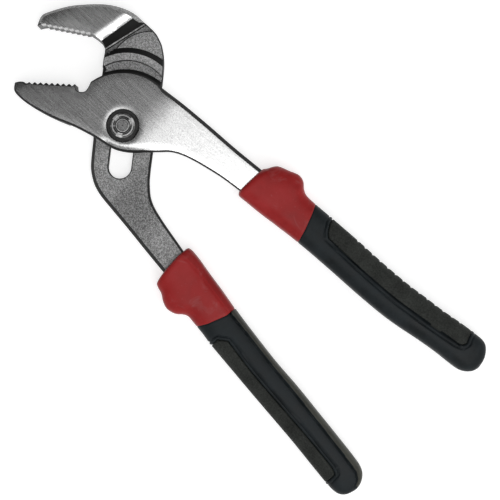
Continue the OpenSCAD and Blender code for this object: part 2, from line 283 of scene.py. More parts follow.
class Graph:
    """A material's nodes, with short names for the few kinds that are used."""

    def __init__(self, name):
        self.m = bpy.data.materials.new(name)
        self.m.use_nodes = True
        self.t = self.m.node_tree
        self.shader = self.t.nodes["Principled BSDF"]
        self.place = self.node("ShaderNodeTexCoord").outputs["Object"]

    def node(self, kind, inputs=None, **settings):
        n = self.t.nodes.new(kind)
        for k, v in settings.items():
            setattr(n, k, v)
        for k, v in (inputs or {}).items():
            if isinstance(v, bpy.types.NodeSocket):
                self.t.links.new(v, n.inputs[k])
            else:
                n.inputs[k].default_value = v
        return n

    def set(self, **values):
        for k, v in values.items():
            k = k.replace("_", " ")
            if isinstance(v, bpy.types.NodeSocket):
                self.t.links.new(v, self.shader.inputs[k])
            else:
                self.shader.inputs[k].default_value = v

    def stretched(self, scale, degrees):
        turn = (0, 0, math.radians(degrees))
        return self.node("ShaderNodeMapping", {
            "Vector": self.place, "Scale": scale, "Rotation": turn}).outputs[0]

    def noise(self, scale, detail=2.0, rough=0.5, vector=None, distortion=0.0):
        return self.node("ShaderNodeTexNoise", {
            "Vector": vector or self.place, "Scale": scale, "Detail": detail, "Roughness": rough,
            "Distortion": distortion}).outputs["Fac"]

    def ramp(self, fac, stops):
        n = self.node("ShaderNodeValToRGB", {"Fac": fac})
        r = n.color_ramp
        while len(r.elements) < len(stops):
            r.elements.new(0.5)
        for e, (pos, col) in zip(r.elements, stops):
            e.position = pos
            e.color = (*col, 1) if hasattr(col, "__len__") else (col, col, col, 1)
        return n.outputs["Color"]

    def span(self, value, a, b, lo, hi):
        """Runs from a to b while the value runs from lo to hi."""
        return self.node("ShaderNodeMapRange", {
            "Value": value, "From Min": lo, "From Max": hi, "To Min": a, "To Max": b}).outputs[0]

    def math(self, op, a, b):
        return self.node("ShaderNodeMath", {0: a, 1: b}, operation=op).outputs[0]

    def blend(self, a, share_a, b):
        """A weighted sum of two values."""
        return self.math("ADD", self.math("MULTIPLY", a, share_a), self.math("MULTIPLY", b, 1 - share_a))

    def along(self, axis):
        """The place along X, Y or Z."""
        return self.node("ShaderNodeSeparateXYZ", {0: self.place}).outputs[axis]

    def mix(self, fac, a, b, blend="MIX"):
        n = self.node("ShaderNodeMix", data_type="RGBA", blend_type=blend)
        for k, v in ((0, fac), (6, a), (7, b)):
            if isinstance(v, bpy.types.NodeSocket):
                self.t.links.new(v, n.inputs[k])
            else:
                n.inputs[k].default_value = v if k == 0 else (*v, 1)
        return n.outputs[2]

    def bump(self, height, strength, distance, under=None):
        inputs = {"Height": height, "Strength": strength, "Distance": distance}
        if under is not None:
            inputs["Normal"] = under
        return self.node("ShaderNodeBump", inputs).outputs[0]


def polished_steel(name, tip, low, high, rough):
    """Brushed along X. tip is where the colour goes from darkest to not darkened at all, along X."""
    g = Graph(name)
    streak = g.noise(1, 3, 0.6, g.stretched((30, 2600, 300), 4))
    fine = g.noise(1, 2, 0.6, g.stretched((90, 4200, 500), -3))
    speck = g.noise(1700, 2, 0.6)
    cloud = g.noise(130, 3, 0.6)
    mixed = g.blend(streak, 0.5, fine)
    base = g.ramp(g.blend(mixed, 0.7, speck), [(0.38, low), (0.5, (low + high) / 2), (0.62, high)])
    tone = g.ramp(cloud, [(0.3, 0.93), (0.65, 1.0)])
    shade = g.math("ADD", g.span(g.along(0), 0.3, 1.0, *tip), g.span(speck, -0.15, 0.15, 0.35, 0.65))
    dark = g.ramp(shade, [(0.3, 0.3), (1.0, 1.0)])
    g.set(Base_Color=g.mix(1.0, g.mix(1.0, base, tone, "MULTIPLY"), dark, "MULTIPLY"), Metallic=1.0)
    g.set(Roughness=g.span(mixed, *rough, 0.35, 0.65))
    g.set(Normal=g.bump(fine, 0.05, 0.0001, g.bump(streak, 0.03, 0.0002)))
    return g.m


def blasted_steel(name, dark, mid, light):
    """Shot-blasted: a fine pitted grain in three tones."""
    g = Graph(name)
    grain = g.noise(2200, 1, 0.5)
    coarse = g.noise(1000, 2, 0.5)
    patch = g.noise(70, 2, 0.5)
    pits = g.node("ShaderNodeTexVoronoi", {"Vector": g.place, "Scale": 1150.0}).outputs["Distance"]
    mixed = g.blend(grain, 0.65, coarse)
    base = g.ramp(mixed, [(0.38, dark), (0.5, mid), (0.62, light)])
    tone = g.ramp(patch, [(0.3, 0.9), (0.7, 1.05)])
    g.set(Base_Color=g.mix(1.0, base, tone, "MULTIPLY"), Metallic=0.55)
    g.set(Roughness=g.span(grain, 0.42, 0.66, 0.3, 0.7))
    g.set(Normal=g.bump(pits, 0.3, 0.0002, g.bump(mixed, 0.55, 0.0003)))
    return g.m


def scale_black(name, dark, light):
    """The black skin left by forging and hardening."""
    g = Graph(name)
    grain = g.noise(1100, 3, 0.6)
    patch = g.noise(120, 2, 0.5)
    g.set(Base_Color=g.ramp(g.blend(grain, 0.6, patch), [(0.35, dark), (0.65, light)]),
          Specular_IOR_Level=0.2)
    g.set(Roughness=g.span(grain, 0.42, 0.62, 0.3, 0.7))
    g.set(Normal=g.bump(grain, 0.3, 0.0002))
    return g.m


def tooth_flank_painted_light():
    """Painted light on the teeth's walls: a painted highlight high up and painted shade low down, by height.
    """
    g = Graph("tooth_flank_painted_light")
    grain = g.noise(1300, 2, 0.5)
    # Lighter with height along Z: a painted highlight high on the wall, painted shade low down.
    edge = g.math("ADD", g.span(g.along(2), 0.0, 1.0, 0.006, 0.0115), g.span(grain, -0.3, 0.3, 0.35, 0.65))
    g.set(Base_Color=g.ramp(edge, [(0.3, 0.02), (0.65, 0.6)]), Metallic=0.4)
    g.set(Roughness=g.span(grain, 0.35, 0.5, 0.35, 0.65), Normal=g.bump(grain, 0.3, 0.0003))
    return g.m


def black_oxide():
    """Thin black oxide, rubbed through where edges stand proud."""
    g = Graph("black_oxide")
    grain = g.noise(1600, 3, 0.6)
    patch = g.noise(420, 3, 0.6)
    edge = g.node("ShaderNodeNewGeometry").outputs["Pointiness"]
    worn = g.math("MULTIPLY", g.span(edge, 0.0, 1.0, 0.505, 0.56), g.span(patch, 0.5, 1.0, 0.35, 0.6))
    base = g.ramp(patch, [(0.35, 0.014), (0.65, 0.05)])
    g.set(Base_Color=g.mix(worn, base, (0.3, 0.3, 0.3)), Metallic=0.7)
    g.set(Roughness=g.span(grain, 0.34, 0.5, 0.3, 0.7))
    g.set(Normal=g.bump(grain, 0.25, 0.00015))
    return g.m


def red_plastic(name, tone):
    """Satin moulded plastic with blotchy scuffs; tone darkens all but the scuffs, which makes a copy with
    painted shade.
    """
    g = Graph(name)
    blotch = g.noise(170, 3, 0.6)
    soft = g.noise(45, 2)
    grain = g.noise(2600, 2)
    dust = g.noise(900, 4, 0.75)
    base = g.ramp(g.blend(blotch, 0.45, soft), [
        (0.32, (0.225, 0.0105, 0.0105)), (0.52, (0.285, 0.0145, 0.0145)), (0.72, (0.33, 0.024, 0.025))])
    base = g.mix(1.0, base, (tone, tone, tone), "MULTIPLY")
    scuff = g.noise(110, 4, 0.7, distortion=1.0)
    flecks = g.math("ADD", g.span(dust, 0.0, 0.3, 0.62, 0.78), g.span(scuff, 0.0, 0.22, 0.58, 0.78))
    g.set(Base_Color=g.mix(flecks, base, (0.36, 0.17, 0.17)), Specular_IOR_Level=0.16)
    g.set(Roughness=g.span(blotch, 0.36, 0.5, 0.3, 0.7))
    g.set(Normal=g.bump(grain, 0.12, 0.0001, g.bump(blotch, 0.12, 0.0006)))
    return g.m


def black_sleeve(name, dark, light):
    """Satin moulded plastic with a fine grain and a little dust."""
    g = Graph(name)
    blotch = g.noise(120, 3, 0.6)
    grain = g.noise(2300, 2)
    dust = g.noise(1300, 4, 0.8)
    base = g.ramp(blotch, [(0.3, dark), (0.7, light)])
    flecks = g.span(dust, 0.0, 0.16, 0.68, 0.82)
    g.set(Base_Color=g.mix(flecks, base, (0.12, 0.12, 0.11)), Specular_IOR_Level=0.14)
    g.set(Roughness=g.span(blotch, 0.42, 0.56, 0.3, 0.7))
    g.set(Normal=g.bump(grain, 0.2, 0.00012))
    return g.m


def textured_rubber():
    """Matt rubber with a coarse moulded grain."""
    g = Graph("textured_rubber")
    patch = g.noise(110, 2, 0.5)
    grain = g.noise(1500, 2, 0.55)
    cells = g.node("ShaderNodeTexVoronoi", {"Vector": g.place, "Scale": 1400.0}).outputs["Distance"]
    dust = g.noise(900, 4, 0.8)
    base = g.ramp(g.blend(patch, 0.4, grain),
                  [(0.32, (0.0075, 0.0083, 0.0075)), (0.68, (0.036, 0.039, 0.0355))])
    flecks = g.span(dust, 0.0, 0.15, 0.66, 0.82)
    g.set(Base_Color=g.mix(flecks, base, (0.08, 0.082, 0.076)), Specular_IOR_Level=0.14)
    g.set(Roughness=g.span(grain, 0.6, 0.8, 0.3, 0.7))
    g.set(Normal=g.bump(cells, 0.5, 0.00025, g.bump(grain, 0.5, 0.0003)))
    return g.m


STEEL = polished_steel("polished_steel", (-0.0495, -0.043), 0.44, 0.57, (0.2, 0.27))
JAW = polished_steel("polished_jaw", (-0.0625, -0.05), 0.44, 0.58, (0.23, 0.33))
BLAST = blasted_steel("blasted_steel", 0.11, 0.25, 0.45)
# Black forging skin, also used as painted shade on the shoulder's slope, the ridges' slopes and steps, and
# the walls between the upper teeth.
BLACK = scale_black("forge_black_and_painted_shade", 0.004, 0.014)
OXIDE = black_oxide()
RED = red_plastic("red_plastic", 1.0)
SLEEVE = black_sleeve("black_sleeve", (0.0055, 0.0075, 0.0085), (0.014, 0.0185, 0.021))
INSERT = textured_rubber()
# A lighter copy of the sleeve: painted light on the rear sleeve's strip beyond its crease.
SIDE = black_sleeve("sleeve_side_painted_light", (0.03, 0.03, 0.025), (0.058, 0.058, 0.048))
# A darker copy of the red plastic: painted shade on the rear guard's strip beyond its crease.
RED_PAINTED_SHADE = red_plastic("red_plastic_painted_shade", 0.82)
# Lighter blasted steel for the worn ridge tops, also used as a painted highlight along the ledge's edge at
# the shoulder.
RIDGE = blasted_steel("blasted_ridge_and_painted_highlight", 0.17, 0.3, 0.48)
GREY = blasted_steel("forged_grey", 0.06, 0.12, 0.22)

# ---------------------------------------------------------------- rear half

# heights of the back, the face, the neck's floor, its ridges, the boss's underside and the shanks
BACK, FACE, FLOOR, RIDGE_Z, BOSS_Z = 2.0, 14.0, 6.0, 8.0, 8.1
SHANK_LO, SHANK_HI = 4.5, 11.5
FINE = (0.3, 0.3)  # chamfer at a hidden or sharp corner
rear_back = curve([
    (-59.6, 7.8), (-61.2, 12.4), (-59.6, 16.6), (-55, 23.9), (-50, 29.5), (-45, 34.2), (-40, 37.9),
    (-35, 40.3), (-30, 41.6), (-24, 42.1), (-18, 41.8), (-13, 39.9)], last=True)
rear_side = curve([(-13, 39.9), (-9, 36.8), (-5, 32.6), (0, 25.8)], last=True)
rear_inner = curve([
    (0, 25.8), (8.5, 13.2), (17, 0.6), (23.6, -8.8), (27.2, -12.9), (31, -16.2), (35.7, -18.5),
    (43.8, -20.8), (53.8, -23.1), (62, -25)], last=True)
rear_heel = curve([
    (62, -38), (49, -36.1), (34, -33.8), (20, -32), (12.5, -30.8), (7, -28.9), (2, -25.5),
    (-1.5, -21.7), (-7.9, -12.9)], last=True)
rear_neck = np.array([(-7.9, -12.9), (-23.4, 10.3)])
rear_throat = curve([(-23.4, 10.3), (-29.8, 19.4), (-31.4, 21.1), (-33.4, 21.8), (-37, 21.7)], last=True)
JAW_CORNER = (-59.6, 7.8)


class TeethRow:
    """A straight row of teeth from a to b. side is 1 or -1: which hand of the row the metal is on."""

    CREST_IN = 1.35  # how far inside the crests the bevelled edge reaches

    def __init__(self, a, b, n, depth, lean, side):
        self.a, self.b, self.n = np.array(a, float), np.array(b, float), n
        self.depth, self.lean, self.side = depth, lean, side
        self.outline = tooth_row(a, b, n, depth, lean, side)

    def place(self, x, y):
        """How far along the row (0 to 1), and how far inside its crests, a point lies."""
        span = self.b - self.a
        length = math.hypot(*span)
        (ax, ay), (dx, dy) = self.a, span / length
        return ((x - ax) * dx + (y - ay) * dy) / length, ((x - ax) * -dy + (y - ay) * dx) * self.side

    def drop(self, into):
        """The toothed edge is bevelled."""
        return 0.16 * np.clip(self.CREST_IN - into, 0, 2.2)

    def lines(self):
        """Lines across the toothed edge: one at each crest and two at each valley."""
        span = self.b - self.a
        inward = np.array([-span[1], span[0]]) / np.hypot(*span) * self.side
        shift = inward * self.CREST_IN
        out = [dense(np.array([self.a + shift, self.b + shift]), 0.5)]
        marks = ((0.05, 0.3), (self.lean, self.depth + 0.15), (self.lean + 0.12, self.depth + 0.1))
        for k in range(self.n):
            for share, start in marks:
                at = self.a + span * (k + share) / self.n
                out.append(np.array([at + inward * start, at + inward * (self.CREST_IN - 0.05)]))
        return out


upper_row = TeethRow((-38.8, 21.4), (-58.6, 9.5), 9, 0.6, 0.25, -1)
rear_loop = Loop([
    (rear_back[:31], 1.4, 1.3),
    (rear_back[30:44], 2.1, 1.9),
    (rear_back[43:], 0.6, 0.6),
    (rear_side, 0.45, 0.45),
    (rear_inner, 0.9, 1.1),
    (np.array([rear_inner[-1], rear_heel[0]]), *FINE),
    (rear_heel, 1.7, 2.0),
    (rear_neck, 1.1, 1.0),
    (rear_throat, 0.45, 0.45),
    (np.array([rear_throat[-1], upper_row.a]), *FINE),
    (upper_row.outline, 0.22, 0.2),
    (np.array([upper_row.b, JAW_CORNER]), *FINE)])

# the slot runs this way from the pivot, towards the upper jaw
SLOT_DEGREES = 125
SLOT_DIR = np.array([math.cos(math.radians(SLOT_DEGREES)), math.sin(math.radians(SLOT_DEGREES))])
SLOT_DOWN, SLOT_UP, SLOT_R = 18.4, 10.4, 5.3
slot_line = np.concatenate([
    arc(SLOT_R, SLOT_DEGREES + 90, SLOT_DEGREES + 270, 40, SLOT_DIR * -SLOT_DOWN),
    arc(SLOT_R, SLOT_DEGREES - 90, SLOT_DEGREES + 90, 40, SLOT_DIR * SLOT_UP)])
slot_loop = Loop([(np.concatenate([slot_line, slot_line[:1]]), 0.45, 0.45)])

# the curved ridges across the neck: pitch, inner and outer radius of the top, and the outer slope
PITCH, RIN, ROUT, RSLOPE = 10.0, 20.9, 24.2, 2.7
INNER_STEP, INNER_TOP, INNER_DROP = 0.18, 0.25, 0.15
INNER_REACH = 0.2  # a ridge counts from just beyond its inner step, so that points on the step count too
RIDGES_FROM = -6  # the ridges are above this place along the slot
ridge_centres = [SLOT_DIR * PITCH * k for k in (-2, -1, 0, 1)]

# the shoulder between the polished jaw and the neck, in its own axes: u across it, v along it
TILT = math.radians(12.3)
SHOULDER, SHOULDER_DROP, LIP, LIP_DROP = -37.3, 1.3, 0.12, 0.072
JAW_ROLL_U, JAW_ROLL = -41.9, 0.052
LEDGE_H, LEDGE_TOP = 0.5, 0.3
LEDGE_HIGHLIGHT = (-0.3, 0.25, 0.8)  # a painted highlight along the ledge's edge at the shoulder's foot, and the dark line beyond it
# a round land, level with the neck's floor, that meets the rougher neck in a dark line
LAND_AT, LAND, LAND_LINE = (-7.5, 26.5), 19.6, 0.22
# the shank rises from the neck from here on, over this length
RISE_X, RISE_LEN, RISE_MERGE = 13, 33, 20


def shoulder_uv(x, y):
    return x * math.cos(TILT) - y * math.sin(TILT), x * math.sin(TILT) + y * math.cos(TILT)


def shoulder_line(u, v):
    return np.stack([u * math.cos(TILT) + v * math.sin(TILT), -u * math.sin(TILT) + v * math.cos(TILT)], 1)


def foot_u(v):
    return -35.0 + (v - 14) * 0.05


def ledge_u(v):
    return -34.6 + (v - 15) * 0.147


def ledge_highlight_u(v):
    return -34.45 + (v - 14.5) * 0.065


def from_land(x, y):
    return np.hypot(x - LAND_AT[0], y - LAND_AT[1])


def rear_top(x, y, dist):
    """Height of the rear forging's upper side; dist is the distance to the nearest edge."""
    u, v = shoulder_uv(x, y)
    foot, ledge = foot_u(v), ledge_u(v)
    down = np.clip((u - SHOULDER) / (foot - SHOULDER), 0, 1)
    top = FACE - SHOULDER_DROP
    z = top - (top - FLOOR - LEDGE_H) * np.interp(down, [0, LIP, 1], [0, LIP_DROP, 1])
    z = np.where(u > ledge, FLOOR + LEDGE_TOP, z)
    # the polished jaw rolls over towards the shoulder, and a little towards its back
    jaw = FACE - JAW_ROLL * np.maximum(u - JAW_ROLL_U, 0) ** 2 - 0.12 * smooth((4 - dist) / 4)
    z = np.where(u < SHOULDER, jaw, z)
    z = np.where((u > ledge) & (from_land(x, y) < LAND), FLOOR, z)
    z = z - np.where(u > -32, 0.15 * smooth((2.5 - dist) / 2.5), 0)
    up = (x * SLOT_DIR[0] + y * SLOT_DIR[1]) > RIDGES_FROM
    for cx, cy in ridge_centres:
        r = np.hypot(x - cx, y - cy)
        ridge = np.interp(r, [RIN - INNER_STEP, RIN, RIN + INNER_TOP, ROUT, ROUT + RSLOPE],
                          [FLOOR, RIDGE_Z - INNER_DROP, RIDGE_Z, RIDGE_Z, FLOOR])
        on = up & (u > ledge) & (r > RIN - INNER_REACH) & (r < ROUT + RSLOPE)
        z = np.where(on, np.maximum(z, ridge), z)
    shank = FLOOR + (SHANK_HI - FLOOR) * smooth((x - RISE_X) / RISE_LEN) - 0.25 * smooth((3 - dist) / 3)
    z = np.where(x > RISE_X, np.where(x < RISE_MERGE, np.maximum(shank, z), shank), z)
    along, into = upper_row.place(x, y)
    return np.where((u < SHOULDER) & (along > 0) & (into < 0.5), z - 0.2 * (0.5 - into), z)


def rear_bottom(x, y):
    return BACK + (SHANK_LO - BACK) * smooth((x - RISE_X) / RISE_LEN)


# places in the rear forging's list of materials
R_JAW, R_BLAST, R_BLACK, R_RIDGE, R_GREY, R_FLANK = range(6)


def rear_paint(c, share):
    """Materials by place: of the upper faces, of the lower faces, and a function for the walls."""
    x, y = c.T
    u, v = shoulder_uv(x, y)
    land, past = from_land(x, y), u - ledge_highlight_u(v)
    idx = np.full(len(c), R_BLAST)
    idx[u < SHOULDER] = R_JAW
    # Black: painted shade on the shoulder's slope, and the ledge and a line past the ledge's edge.
    idx[(u > SHOULDER) & (past < LEDGE_HIGHLIGHT[2])] = R_BLACK
    # Painted highlight: a light line along the ledge's edge.
    idx[(past > LEDGE_HIGHLIGHT[0]) & (past < LEDGE_HIGHLIGHT[1])] = R_RIDGE
    idx[(past > LEDGE_HIGHLIGHT[2]) & (land > LAND) & (y > 18)] = R_GREY
    idx[(past > LEDGE_HIGHLIGHT[1]) & (np.abs(land - LAND) < LAND_LINE) & (y > 22)] = R_BLACK
    up = (c @ SLOT_DIR) > RIDGES_FROM
    radii = [np.hypot(*(c - k).T) for k in ridge_centres]
    # Painted shade: each ridge's outer slope is black.
    for r in radii:
        idx[up & (u > -32) & (r > ROUT + 0.02) & (r < ROUT + RSLOPE)] = R_BLACK
    for r in radii:
        idx[up & (u > -33.5) & (r > RIN + 0.1) & (r < ROUT)] = R_RIDGE
        # Painted shade: a thin black line on each ridge's inner step.
        idx[up & (u > -32) & (r > RIN - 0.3) & (r < RIN)] = R_BLACK
    edge = share < 1
    idx[edge] = np.where((u < SHOULDER + 3) & (y > 10), R_RIDGE, R_BLACK)[edge]
    along, into = upper_row.place(x, y)
    idx[edge & (along > 0) & (along < 1) & (into < upper_row.CREST_IN)] = R_JAW
    idx[(line_distance(c, rear_throat)[0] < 1.4) & (y < 14.8)] = R_BLACK

    def wall(m):
        along, into = upper_row.place(*m)
        if 0 < along < 1 and into < 1:
            # Painted shade: the steep facet between the upper teeth is black. The other walls take the tooth
            # flank's painted light.
            return R_BLACK if along * upper_row.n % 1.0 < 0.27 else R_FLANK
        return R_GREY if shoulder_uv(*m)[0] < SHOULDER else R_BLACK
    return idx, np.where(edge, R_BLACK, R_BLAST), wall


v = np.linspace(-5, 55, 60)
lines = [shoulder_line(u, v) for u in (JAW_ROLL_U, -41.2, -40.2, -39.2, -38.2, SHOULDER)]
v = np.linspace(5, 50, 50)
foot = foot_u(v)
for u in (SHOULDER + LIP * (foot - SHOULDER), foot, ledge_u(v), *(ledge_highlight_u(v) + off for off in LEDGE_HIGHLIGHT)):
    lines.append(shoulder_line(u, v))
for centre in ridge_centres:
    for r in (RIN - INNER_STEP, RIN, RIN + INNER_TOP, ROUT, ROUT + RSLOPE):
        lines.append(arc(r, SLOT_DEGREES - 62, SLOT_DEGREES + 62, 110, centre))
for r in (LAND - LAND_LINE, LAND + LAND_LINE):
    lines.append(arc(r, 95, 200, 60, LAND_AT))
lines += upper_row.lines()
rear_half = plate("rear_forging", rear_loop, [slot_loop], lines, rear_top, rear_bottom, rear_paint,
                  [JAW, BLAST, BLACK, RIDGE, GREY, tooth_flank_painted_light()])

# ---------------------------------------------------------------- front half

BOSS_R, WASHER_HOLE, BORE = 24.8, 7.6, 3.75
RECESS_Z, RECESS_WALL = 12.1, 0.04
NECK_ROOM = 25.4  # radius of the room for the neck under the boss
front_belly = curve([
    (-49.8, -18.3), (-47.8, -21), (-44.5, -21.8), (-39, -21.6), (-32, -20.2), (-25, -18.2), (-17, -15.3),
    (-10.4, -13.5), (-4, -12.1), (2.5, -11), (7, -9.1), (11.5, -5.9), (16, -1.5), (20, 2.2), (24, 5.8),
    (29, 8.3), (35, 10.1), (42, 11.6), (50, 12.9), (62, 14)], last=True)
front_back = curve([(62, 27.7), (45, 26.8), (30, 26.5), (15, 25.9), (6, 25.2), (1.3, 24.8)], last=True)
front_boss = arc(BOSS_R, 87, 168, 60)
front_gullet = curve([
    (-24.26, 5.16), (-23.4, 2.4), (-23.3, 0.2), (-24.6, -1.4), (-26.3, -2.1), (-27.8, -1.5), (-28.9, -0.5)],
    last=True)
lower_row = TeethRow((-28.9, -0.5), (-45.1, -13.7), 8, 1.0, 0.5, 1)
front_nose = curve(
    [(-45.1, -13.7), (-45.6, -15.0), (-47.3, -15.5), (-48.8, -16.8), (-49.8, -18.3)], last=True)
front_loop = Loop([
    (front_belly[:36], 0.95, 1.0),
    (front_belly[35:61], 1.0, 1.1),
    (front_belly[60:], 0.6, 0.7),
    (np.array([front_belly[-1], front_back[0]]), *FINE),
    (front_back, 1.8, 2.2),
    (front_boss, 0.9, 1.0),
    (front_gullet, 0.4, 0.4),
    (lower_row.outline, 0.22, 0.2),
    (front_nose, 0.8, 0.7)])
bore_loop = Loop([(arc(BORE, 0, 360, 48), 0.2, 0.2)])

# the shank falls away from the boss, quickly at first: its slope at four places, summed along X
FALL_X = np.linspace(3, 62, 119)
FALL = np.cumsum(np.interp(FALL_X, [3, 14, 24, 62], [0, 0.064, 0.063, 0.043])) * (FALL_X[1] - FALL_X[0])
BELLY_ROLL, BELLY_WIDE = 0.7, 3.6
RIM_DROP, RIM_R, RIM_WIDE = 0.11, 9.1, 1.6
THIN_X, THIN_LEN = 27, 15  # the shank's underside comes down from here on, over this length


def front_top(x, y, dist):
    """Height of the front forging's upper side; dist is the distance to the nearest edge."""
    r = np.hypot(x, y)
    z = FACE - np.interp(x + np.clip(-3 - y, 0, 7), FALL_X, FALL)
    z = z - 0.12 * smooth((3 - dist) / 3)
    # the belly's edge rolls over below the nut
    belly = line_distance(np.stack([x, y], 1), front_belly)[0]
    near_nut = smooth((x + 5) / 7) * smooth((22 - x) / 9)
    z = z - BELLY_ROLL * np.clip(1 - belly / BELLY_WIDE, 0, 1) ** 2 * near_nut
    # a soft worn rim lies round the nut's recess
    z = z - RIM_DROP * smooth((RIM_R - r) / RIM_WIDE)
    z = np.where(r < WASHER_HOLE + RECESS_WALL / 2, RECESS_Z, z)
    along, into = lower_row.place(x, y)
    return np.where((along > -0.02) & (into < 3), z - lower_row.drop(into), z)


def front_bottom(x, y):
    z = np.where((np.hypot(x, y) < NECK_ROOM) | (x > 0), BOSS_Z, BACK)
    shank = BOSS_Z + (SHANK_LO - BOSS_Z) * smooth((x - THIN_X) / THIN_LEN)
    return np.where(x > THIN_X, shank, z)


# places in the front forging's list of materials
F_STEEL, F_BLACK, F_BLAST = range(3)


def front_paint(c, share):
    """Materials by place, as rear_paint gives them. The teeth are black, with a saw-toothed edge."""
    idx = np.full(len(c), F_STEEL)
    edge = share < 1
    idx[edge] = F_BLACK
    along, into = lower_row.place(*c.T)
    reach = 0.4 + np.abs(along * lower_row.n % 1.0 - 0.5) * 1.8
    idx[(along > 0) & (along < 1) & (into < reach)] = F_BLACK
    idx[np.hypot(*c.T) < WASHER_HOLE + 0.1] = F_BLACK
    return idx, np.where(edge, F_BLACK, F_BLAST), lambda m: F_BLACK


def tongue_part():
    """The curved tongue under the boss that stands in one of the neck's grooves."""
    a = np.radians(np.linspace(136, 172, 30))
    inner, outer, low, high = 19.1, 20.7, FLOOR + 0.2, BOSS_Z + 0.2
    corners = ((inner, low), (outer, low), (outer, high), (inner, high))
    co = [np.stack([r * np.cos(a), r * np.sin(a), np.full(len(a), z)], 1) for r, z in corners]
    n, faces = len(a), []
    for k in range(4):
        for i in range(n - 1):
            p, q = k * n + i, ((k + 1) % 4) * n + i
            faces.append((p, p + 1, q + 1, q))
    faces.append(tuple(k * n for k in range(4)))
    faces.append(tuple(k * n + n - 1 for k in (3, 2, 1, 0)))
    return np.concatenate(co), faces, F_BLAST


lines = [arc(r, 0, 360, 96) for r in (WASHER_HOLE, WASHER_HOLE + RECESS_WALL, 8.3, RIM_R)]
lines += [arc(r, 140, 240, 90) for r in (NECK_ROOM, NECK_ROOM + 0.05)]
lines.append(np.stack([np.full(40, THIN_X), np.linspace(-5, 32, 40)], 1))
lines += lower_row.lines()
front_half = plate("front_forging", front_loop, [bore_loop], lines, front_top, front_bottom, front_paint,
                   [STEEL, BLACK, BLAST], extra_parts=[tongue_part()])

# ---------------------------------------------------------------- pivot hardware


def lathe(name, profile, materials, n, move=None, index=None):
    """A profile of (radius, height) turned round Z in n steps. move may shift its radii and heights."""
    a = np.linspace(0, 2 * math.pi, n, endpoint=False)
    prof = np.array(profile, float)
    r, z = np.repeat(prof[:, :1], n, 1), np.repeat(prof[:, 1:], n, 1)
    ang = np.repeat(a[None], len(prof), 0)
    if move is not None:
        r, z = move(r, ang, z)
    co = np.stack([r * np.cos(ang), r * np.sin(ang), z], 2).reshape(-1, 3)
    faces, idx = [], []
    m = len(prof)
    for k in range(m - 1):
        for i in range(n):
            j = (i + 1) % n
            faces.append((k * n + i, k * n + j, (k + 1) * n + j, (k + 1) * n + i))
            idx.append(0 if index is None else index(k, a[i]))
    faces.append(tuple(reversed(range(n))))
    faces.append(tuple((m - 1) * n + i for i in range(n)))
    idx += [0, 0]
    return solid(name, co, faces, materials, idx)


# the bolt's rim (profile step 10) is worn bright and carries a painted highlight, and its end face (from
# step 13) is grey
bolt = lathe("bolt", [
    (6.6, 0.0), (7.3, 0.12), (7.8, 0.5), (8.0, 1.0), (8.0, 2.0), (3.7, 2.0), (3.7, 12.6), (3.2, 12.6),
    (3.2, 14.6), (3.05, 14.9), (2.95, 15.1), (2.65, 15.15), (2.5, 15.0), (2.4, 14.9), (1.2, 14.95),
    (0.3, 14.97)],
    [OXIDE, blasted_steel("worn_end_and_painted_highlight", 0.25, 0.4, 0.6), blasted_steel("bolt_end", 0.11, 0.19, 0.3)],
    n=96, index=lambda k, angle: 1 if k == 10 else 2 if k > 12 else 0)

NOTCHES, NOTCH_HALF, NOTCH_DEEP = np.radians((65, 171, 294)), 0.3, 0.5
NOTCH_R, NOTCH_Z = 3.9, 14.6


def from_notch(a):
    """Angle to the nearest notch of the nut."""
    off = (np.asarray(a)[..., None] - NOTCHES + math.pi) % (2 * math.pi) - math.pi
    return np.abs(off).min(-1)


def nut_cut(r, a, z):
    cut = smooth((NOTCH_HALF - from_notch(a)) / 0.05) * smooth((r - NOTCH_R) / 0.4)
    return r, z - cut * np.where(z > NOTCH_Z, NOTCH_DEEP, 0)


def nut_index(k, angle):
    """The notches (profile steps 3 to 9) show bright steel, brightened further as a painted reflection, and
    the rim (6 and 7) is worn.
    """
    return 2 if 3 <= k <= 9 and from_notch(angle) < NOTCH_HALF - 0.02 else 1 if k in (6, 7) else 0


nut = lathe("round_nut", [
    (3.25, 13.2), (5.5, 13.2), (5.6, 13.3), (5.6, 15.0), (5.5, 15.15), (5.1, 15.3), (4.95, 15.5),
    (4.5, 15.58), (4.3, 15.4), (3.9, 15.25), (3.6, 15.3), (3.45, 15.2), (3.25, 14.9)],
    [OXIDE, blasted_steel("worn_rim", 0.25, 0.4, 0.6), blasted_steel("notch_steel_and_painted_reflection", 0.4, 0.55, 0.72)],
    n=180, move=nut_cut, index=nut_index)

FLAT_AT, FLAT_TURN = 6.7, math.radians(12)


def washer_flat(r, a, z):
    """One side of the washer is cut flat."""
    x, y = r * np.cos(a - FLAT_TURN), r * np.sin(a - FLAT_TURN)
    return np.where(x > FLAT_AT, np.hypot(np.minimum(x, FLAT_AT), y), r), z


washer = lathe("sunk_washer", [
    (3.8, 12.2), (7.2, 12.2), (7.35, 12.35), (7.35, 13.2), (7.2, 13.38), (3.8, 13.4)],
    [scale_black("washer_black", 0.01, 0.05)], n=120, move=washer_flat)

# ---------------------------------------------------------------- guards, grips and palm inserts

